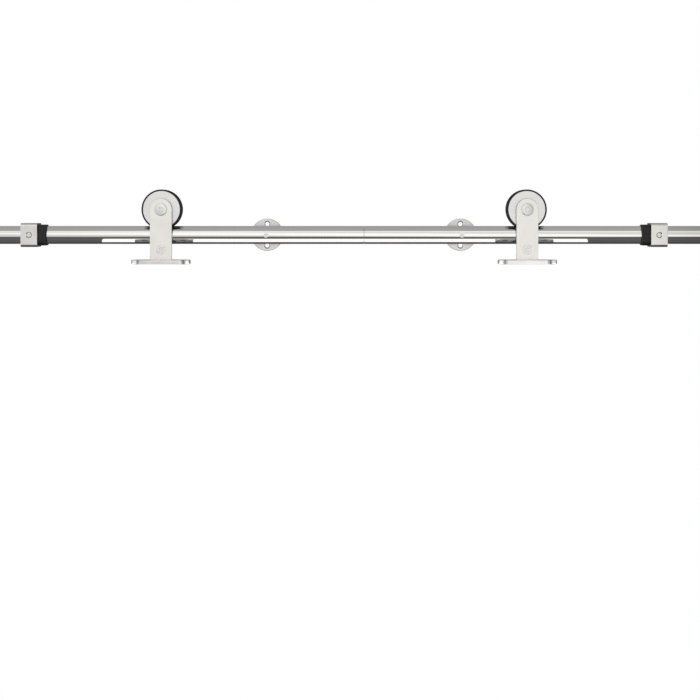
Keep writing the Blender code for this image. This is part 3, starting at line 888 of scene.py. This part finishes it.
def axle_bolt(side):
    node = side + "_axle_bolt"
    low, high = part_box(node)
    centre = box_centre(node)
    head, under = (high.x - low.x) / 2, -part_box(side + "_strap")[0].y + CLEARANCE
    shank = AXLE_BORE - CLEARANCE
    dome = (head ** 2 + HEAD_RISE ** 2) / (2 * HEAD_RISE)
    pen = Pen(0, -low.y, lathe=True).arc(0, -low.y - dome, -math.degrees(math.asin(head / dome)), 12)
    pen.lines((head, under), (shank, under), (shank, -high.y), (0, -high.y))
    bolt = with_socket(soften(pen.turn(96), 0.6 * MM, 4), -low.y, AXLE_KEY, 4 * MM)
    nut_front = -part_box(side + "_axle_nut")[0].y
    bolt = drill(bolt, thread_bit(shank, THREAD_PITCH, -high.y - THREAD_PITCH, nut_front))
    put(bolt, TO_ROOM, (centre.x, 0, centre.z))
    steel = lathe_turned("lathe_turned_stainless_axle_bolt_" + side, node)
    publish(bolt, node + "_threaded", steel, side + "_hanger", "turned_steel", node, crease=25)


# %% Axle nuts
def axle_nut(side):
    node = side + "_axle_nut"
    size, centre = box_size(node), box_centre(node)
    corner, flat = size.x / 2, size.z / 2
    half = size.y / 2
    hexagon = put(rod(corner, size.y, 6), Matrix.Rotation(math.radians(30), 4, "Z"), (0, 0, 0))
    face, rim = 0.95 * flat, corner + 0.1 * MM
    chamfer = (corner - face) * math.tan(math.radians(30))
    cone = Pen(0, half, lathe=True)
    cone.lines((face, half), (rim, half - chamfer), (rim, chamfer - half), (face, -half), (0, -half))
    nut = drill(hexagon, cone.turn(96), operation="INTERSECT")
    bore = put(countersink_bit(AXLE_BORE, AXLE_BORE + 0.5 * MM, 2 * size.y), UPRIGHT, (0, 0, half))
    nut = put(drill(nut, bore), TO_WALL, centre)
    publish(nut, node + "_chamfered", fastener_steel, side + "_hanger", "turned_steel", node)


for side in SIDES:
    axle_bolt(side)
    axle_nut(side)

# %% [markdown]
# Spacers and bearings
#
# Two spacers hold the bearing's inner ring clear of the strap and the nut. The bearing is a
# small deep-groove one. Both rings are turned with a round track, and seven balls run
# between them, spaced by a cage.

# %% Spacers
BALL_RADIUS = 1.9 * MM
BALL_TRACK = BALL_RADIUS + 0.1 * MM
BALL_COUNT = 7
OUTER_RING = 1.8 * MM
CAGE_DEPTH = 0.6 * MM
CAGE_HALF_WIDTH = 0.5 * MM


def spacer(side, end):
    node = f"{side}_{end}_spacer"
    size = box_size(node)
    outer, half = size.x / 2, size.y / 2
    pen = Pen(outer, half, lathe=True).lines((outer, -half), (AXLE_BORE, -half), (AXLE_BORE, half))
    ring = put(soften(pen.turn(72), 0.3 * MM, 2), TO_ROOM, box_centre(node))
    publish(ring, node + "_turned", fastener_steel, side + "_hanger", "satin_steel", node)


# %% Bearing rings and balls
def bearing(side):
    inner, outer, balls = (f"{side}_bearing_{name}" for name in ("inner_race", "outer_race", "ball_ring"))
    inner_radius, outer_radius = box_size(inner).x / 2, box_size(outer).x / 2
    half = box_size(outer).y / 2
    shoulder = outer_radius - OUTER_RING
    pitch = (inner_radius + shoulder) / 2
    reach = math.sqrt(BALL_TRACK ** 2 - (pitch - inner_radius) ** 2)
    sweep = 2 * math.degrees(math.asin(reach / BALL_TRACK))
    pen = Pen(inner_radius, -half, lathe=True).line(inner_radius, -reach)
    pen.arc(pitch, 0, -sweep, 12).lines((inner_radius, half), (AXLE_BORE, half), (AXLE_BORE, -half))
    ring = put(pen.turn(72), TO_ROOM, box_centre(inner))
    publish(ring, inner + "_tracked", bearing_steel, side + "_hanger", "bearing_steel", inner)
    pen = Pen(shoulder, half, lathe=True).line(shoulder, reach)
    pen.arc(pitch, 0, -sweep, 12).lines((shoulder, -half), (outer_radius, -half), (outer_radius, half))
    ring = put(pen.turn(96), TO_ROOM, box_centre(outer))
    publish(ring, outer + "_tracked", bearing_steel, side + "_wheel", "bearing_steel", outer)
    outside, inside = pitch + CAGE_DEPTH, pitch - CAGE_DEPTH
    pen = Pen(outside, CAGE_HALF_WIDTH, lathe=True)
    cage = pen.lines((outside, -CAGE_HALF_WIDTH), (inside, -CAGE_HALF_WIDTH),
                     (inside, CAGE_HALF_WIDTH)).turn(72)
    for index in range(BALL_COUNT):
        made = bmesh.ops.create_uvsphere(cage, u_segments=24, v_segments=16, radius=BALL_RADIUS)
        turn = Matrix.Rotation(math.tau * index / BALL_COUNT, 4, "Z") @ Matrix.Translation((pitch, 0, 0))
        bmesh.ops.transform(cage, matrix=turn, verts=made["verts"])
    put(cage, TO_ROOM, box_centre(balls))
    publish(cage, balls + "_caged", bearing_steel, side + "_wheel", "bearing_steel", balls)


for side in SIDES:
    spacer(side, "front")
    spacer(side, "rear")
    bearing(side)

# %% [markdown]
# The wheels
#
# A nylon tyre sits between two steel discs. Its groove is an arc about the rail's own axis,
# so it hugs the rail. The lips beside the groove are rounded, as moulded ones are. The
# discs lie flush in shallow recesses, and their rims have a bright chamfer: lit by the room
# and lightened further by the steel's painted edge highlight.

# %% Tyres
DISC_THICKNESS = 1.5 * MM
DISC_RIM = 25.65 * MM
HUB_SHOULDER = 1.5 * MM


def tyre(side):
    node = side + "_wheel_core"
    size, centre = box_size(node), box_centre(node)
    rim, half = size.z / 2, size.y / 2
    groove = RAIL_RADIUS + CLEARANCE
    opening = math.acos((centre.z - rim) / groove)
    edge = groove * math.sin(opening)
    recess = half - DISC_THICKNESS - CLEARANCE
    seat = box_size(side + "_bearing_outer_race").x / 2 + CLEARANCE
    seat_half = box_size(side + "_bearing_outer_race").y / 2 + CLEARANCE
    lip, hub = DISC_RIM + CLEARANCE, seat - HUB_SHOULDER
    pen = Pen(lip, half, lathe=True).lines((rim, half), (rim, edge))
    pen.arc(centre.z, 0, math.degrees(2 * opening), 40)
    pen.lines((rim, -half), (lip, -half), (lip, -recess), (hub, -recess), (hub, -seat_half),
              (seat, -seat_half), (seat, seat_half), (hub, seat_half), (hub, recess), (lip, recess))
    body = soften(pen.turn(128), 0.4 * MM, 3, where=lambda place: place.xy.length > rim - 0.1 * MM)
    put(body, TO_ROOM, centre)
    publish(body, node + "_grooved", wheel_nylon[side], side + "_wheel", "black_nylon", node)


# %% Discs
DISC_BORE = 8.2 * MM


def disc(side, end, facing):
    node = f"{side}_wheel_disc_{end}"
    half = box_size(node).y / 2
    pen = Pen(DISC_RIM, half, lathe=True)
    plate = pen.lines((DISC_RIM, -half), (DISC_BORE, -half), (DISC_BORE, half)).turn(128)
    soften(plate, 0.5 * MM, 3, where=lambda place: place.z > 0)
    put(plate, facing, box_centre(node))
    publish(plate, node + "_faced", disc_steel[side], side + "_wheel", "satin_steel", node)


for side in SIDES:
    tyre(side)
    disc(side, "front", TO_ROOM)
    disc(side, "rear", TO_WALL)

# %% [markdown]
# The end stops
#
# A stop is a block on the rail, locked by a set screw in front, with a rubber sleeve on the
# side that the hanger meets. Both are sections drawn as (depth, height) and extruded along
# the rail. The block is a plain square bar with tight corners. The sleeve is a soft square
# in front and nearly round behind, and its ends are rounded too.

# %% Rounded sections
def rounded_section(front, rear, half, front_corner, rear_corner, length):
    """A closed section with round corners, from front to rear, extruded to the length."""
    pen = Pen(rear, rear_corner - half).line(rear, half - rear_corner)
    pen.arc(rear - rear_corner, half - rear_corner, 90, 12).line(front + front_corner, half)
    pen.arc(front + front_corner, half - front_corner, 90, 12).line(front, front_corner - half)
    pen.arc(front + front_corner, front_corner - half, 90, 12).line(rear - rear_corner, -half)
    return pen.arc(rear - rear_corner, rear_corner - half, 90, 12).plate(length)


def bore_rail(shape, length):
    return drill(shape, rod(RAIL_RADIUS + CLEARANCE, 2 * length, RAIL_STEPS))


# %% Stop blocks and their screws
BLOCK_CORNER = 3.8 * MM
STOP_SCREW_MOUTH = 4.6 * MM
STOP_SCREW_DEPTH = 8 * MM
STOP_KEY = 3.46 * MM


def stop_block(side):
    node, screw = side + "_stop_block", side + "_stop_screw"
    low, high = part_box(node)
    size, centre = high - low, (low + high) / 2
    block = rounded_section(low.y - RAIL_Y, high.y - RAIL_Y, size.z / 2, BLOCK_CORNER, BLOCK_CORNER,
                            size.x)
    block = bore_rail(soften(block, 0.6 * MM, 3), size.x)
    put(block, ALONG_RAIL, (centre.x, RAIL_Y, 0))
    hole = box_size(screw).x / 2 + CLEARANCE / 2
    tapped = countersink_bit(hole, STOP_SCREW_MOUTH, STOP_SCREW_DEPTH)
    block = drill(block, put(tapped, TO_ROOM, (centre.x, low.y, 0)))
    publish(block, node + "_machined", block_steel, side + "_stop", "satin_steel", node)
    low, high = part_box(screw)
    shape = put(set_screw(screw, high.y - low.y, STOP_KEY), TO_ROOM, (centre.x, low.y, 0))
    publish(shape, screw + "_socketed", fastener_steel, side + "_stop", "turned_steel", screw)


# %% Rubber bumpers
FRONT_CORNER = 5.8 * MM
REAR_CORNER = 12 * MM
END_ROUND = 1.5 * MM


def bumper(side):
    node = side + "_stop_bumper"
    low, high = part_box(node)
    size = high - low
    sleeve = rounded_section(low.y - RAIL_Y, high.y - RAIL_Y, size.z / 2, FRONT_CORNER, REAR_CORNER, size.x)
    sleeve = bore_rail(soften(sleeve, END_ROUND, 4), size.x)
    put(sleeve, ALONG_RAIL, ((low.x + high.x) / 2, RAIL_Y, 0))
    publish(sleeve, node + "_moulded", bumper_rubber, side + "_stop", "black_rubber", node)


for side in SIDES:
    stop_block(side)
    bumper(side)

# %% [markdown]
# The room
#
# Polished steel shows what stands around it, so the room is most of its look. A studio is
# bright in front, grey above and dark below. Straight behind there is a dark strip at the
# horizon, which draws the fine dark lines along edges seen almost side-on, and each side
# has a dark gap between its soft boxes. The world paints those bands from the direction
# alone. Only what the camera sees directly is plain white.

# %% Studio surroundings
BRIGHTEST = 1.5
# A direction's height is measured against a slightly tilted upright: lower in front.
UPRIGHT_TILT = (0, 0.194, 1)
# How fast the rear bands give way to the front ones to either side.
REAR_NARROWING = 1.6
# How far either side of that line front and rear blend.
REAR_BLEND = 0.15
# (height, brightness there), and for the sides (left to right, share of that brightness)
FRONT_BANDS = ((-1.02, 0.12), (-0.95, 0.17), (-0.84, 0.14), (-0.60, 0.17), (-0.56, 0.30), (-0.50, 0.90),
               (-0.38, 0.98), (-0.28, 1.02), (-0.06, 1.07), (0.17, 1.03), (0.39, 1.04), (0.58, 1.27),
               (0.665, 1.27), (0.70, 0.53), (1.02, 0.54))
REAR_BANDS = ((-1.0, 0.09), (-0.80, 0.06), (-0.62, 0.12), (-0.14, 0.10), (0.12, 0.10), (0.24, 0.40),
              (0.44, 0.44), (0.60, 0.46), (0.90, 0.48), (1.0, 0.54))
SIDE_BANDS = ((-1.0, 1.3), (-0.92, 1.3), (-0.80, 0.55), (-0.60, 0.45), (-0.42, 1.06), (-0.20, 1.0),
              (0.16, 1.02), (0.22, 0.66), (0.52, 0.70), (0.62, 0.28), (0.80, 0.35), (0.92, 1.2), (1.0, 1.2))


def painted_bands(tree, value, bands):
    """Grey bands over a value, as a share of the brightest."""
    lowest, highest = bands[0][0], bands[-1][0]
    along = add(tree, "MapRange", {"Value": value, "From Min": lowest, "From Max": highest})
    painted = add(tree, "ValToRGB", {"Fac": along})
    stops = painted.color_ramp.elements
    while len(stops) < len(bands):
        stops.new(0.5)
    for index, (level, brightness) in enumerate(bands):
        stops[index].position = (level - lowest) / (highest - lowest)
        stops[index].color = (*[brightness / BRIGHTEST] * 3, 1)
    return painted


world = bpy.data.worlds.new("studio")
world.use_nodes = True
tree = world.node_tree
tree.nodes.clear()
direction = add(tree, "TexCoord").outputs["Generated"]
parts = add(tree, "SeparateXYZ", {"Vector": direction})
tilted = add(tree, "VectorMath", {0: direction, 1: UPRIGHT_TILT}, operation="DOT_PRODUCT")
sideways = add(tree, "Math", {0: parts.outputs["X"]}, operation="ABSOLUTE")
straight = add(tree, "Math", {0: sideways, 1: -REAR_NARROWING, 2: parts.outputs["Y"]},
               operation="MULTIPLY_ADD")
behind = add(tree, "MapRange", {"Value": straight, "From Min": -REAR_BLEND, "From Max": REAR_BLEND})
around = add(tree, "Mix", {"Factor": behind, "A": painted_bands(tree, tilted, FRONT_BANDS),
                           "B": painted_bands(tree, parts.outputs["Z"], REAR_BANDS)}, data_type="RGBA")
sided = add(tree, "Mix", {"Factor": 1.0, "A": around,
                          "B": painted_bands(tree, parts.outputs["X"], SIDE_BANDS)},
            data_type="RGBA", blend_type="MULTIPLY")
studio = add(tree, "Background", {"Color": sided, "Strength": BRIGHTEST ** 2})
backdrop = add(tree, "Background", {"Color": (1, 1, 1, 1), "Strength": 1.0})
seen = add(tree, "LightPath").outputs["Is Camera Ray"]
room = add(tree, "MixShader", {0: seen, 1: studio, 2: backdrop})
add(tree, "OutputWorld", {"Surface": room})
scene.world = world
scene.view_settings.view_transform = "Standard"

# %% [markdown]
# Lights
#
# One large soft box stands in front, rolled over, so that the rail mirrors it as a bright
# streak which sinks from left to right. Low panels stand for the pale top of the door and
# put a bright line along the rail's underside between the hangers. They leave out the strips
# under the foot plates, which would only wash out the plates' undersides. A light's power is
# worked out from how bright its face should look, which is power over pi times its area.


# %% Soft lights
def soft_box(name, width, height, brightness, where, aim, roll=0):
    light = bpy.data.lights.new(name, "AREA")
    light.shape = "RECTANGLE"
    light.size = width
    light.size_y = height
    light.energy = brightness * math.pi * width * height
    lamp = bpy.data.objects.new(name, light)
    facing = (Vector(aim) - Vector(where)).to_track_quat("-Z", "Y").to_matrix().to_4x4()
    lamp.matrix_world = Matrix.Translation(where) @ facing @ Matrix.Rotation(math.radians(roll), 4, "Z")
    lamp.visible_camera = False
    scene.collection.objects.link(lamp)


soft_box("key", 3.6, 1.4, brightness=0.42, where=(0, -3.2, 0.31), aim=(0, 0, 0), roll=-52)
DOOR_LEFT, DOOR_RIGHT = -0.367, 0.314
DOOR_FRONT, DOOR_REAR = -0.072, -0.030
DOOR_BRIGHTNESS = 1.4
left_foot, right_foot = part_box("left_foot_plate"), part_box("right_foot_plate")
foot_front = left_foot[0].y
door_top = left_foot[0].z - 1 * MM
door_panels = {"front": (DOOR_LEFT, DOOR_RIGHT, DOOR_FRONT, foot_front),
               "left": (DOOR_LEFT, left_foot[0].x, foot_front, DOOR_REAR),
               "middle": (left_foot[1].x, right_foot[0].x, foot_front, DOOR_REAR),
               "right": (right_foot[1].x, DOOR_RIGHT, foot_front, DOOR_REAR)}
for place, (left, right, front, rear) in door_panels.items():
    middle = ((left + right) / 2, (front + rear) / 2)
    soft_box("door_top_" + place, right - left, rear - front, DOOR_BRIGHTNESS, where=(*middle, door_top),
             aim=(*middle, 0))

# %% Floor
# The rail hangs just over two metres up, as over a doorway.
FLOOR_HEIGHT = -2.05
FLOOR_REACH = 2.0
floor_shape = bmesh.new()
bmesh.ops.create_grid(floor_shape, x_segments=1, y_segments=1, size=FLOOR_REACH)
floor = to_object(put(floor_shape, UPRIGHT, (0, 0, FLOOR_HEIGHT)), "floor")
floor_paint = new_material("matt_pale_floor_paint", "#EDEDEB", Roughness=0.8)[0]
floor.data.materials.append(floor_paint)
floor.visible_glossy = False

# %% [markdown]
# The camera
#
# It stands square to the wall, level with the wheels and far back with a long lens, so the
# rail stays straight. The lens is shifted down, which keeps that square view but leaves
# room under the rail.

# %% Camera
lens = bpy.data.cameras.new("camera")
lens.sensor_width = 36
lens.lens = 92.6
lens.shift_y = -0.19727
lens.clip_start = 0.05
camera = bpy.data.objects.new("camera", lens)
camera.location = (-0.0194, -2.53, 0.032)
camera.rotation_euler = (math.radians(90), 0, 0)
scene.collection.objects.link(camera)
scene.camera = camera

# %% Sizes, and finish
hidden = sum(1 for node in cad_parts.values() if node.hide_render)
print(f"{len(published)} pieces stand for {hidden} of the model's nodes")
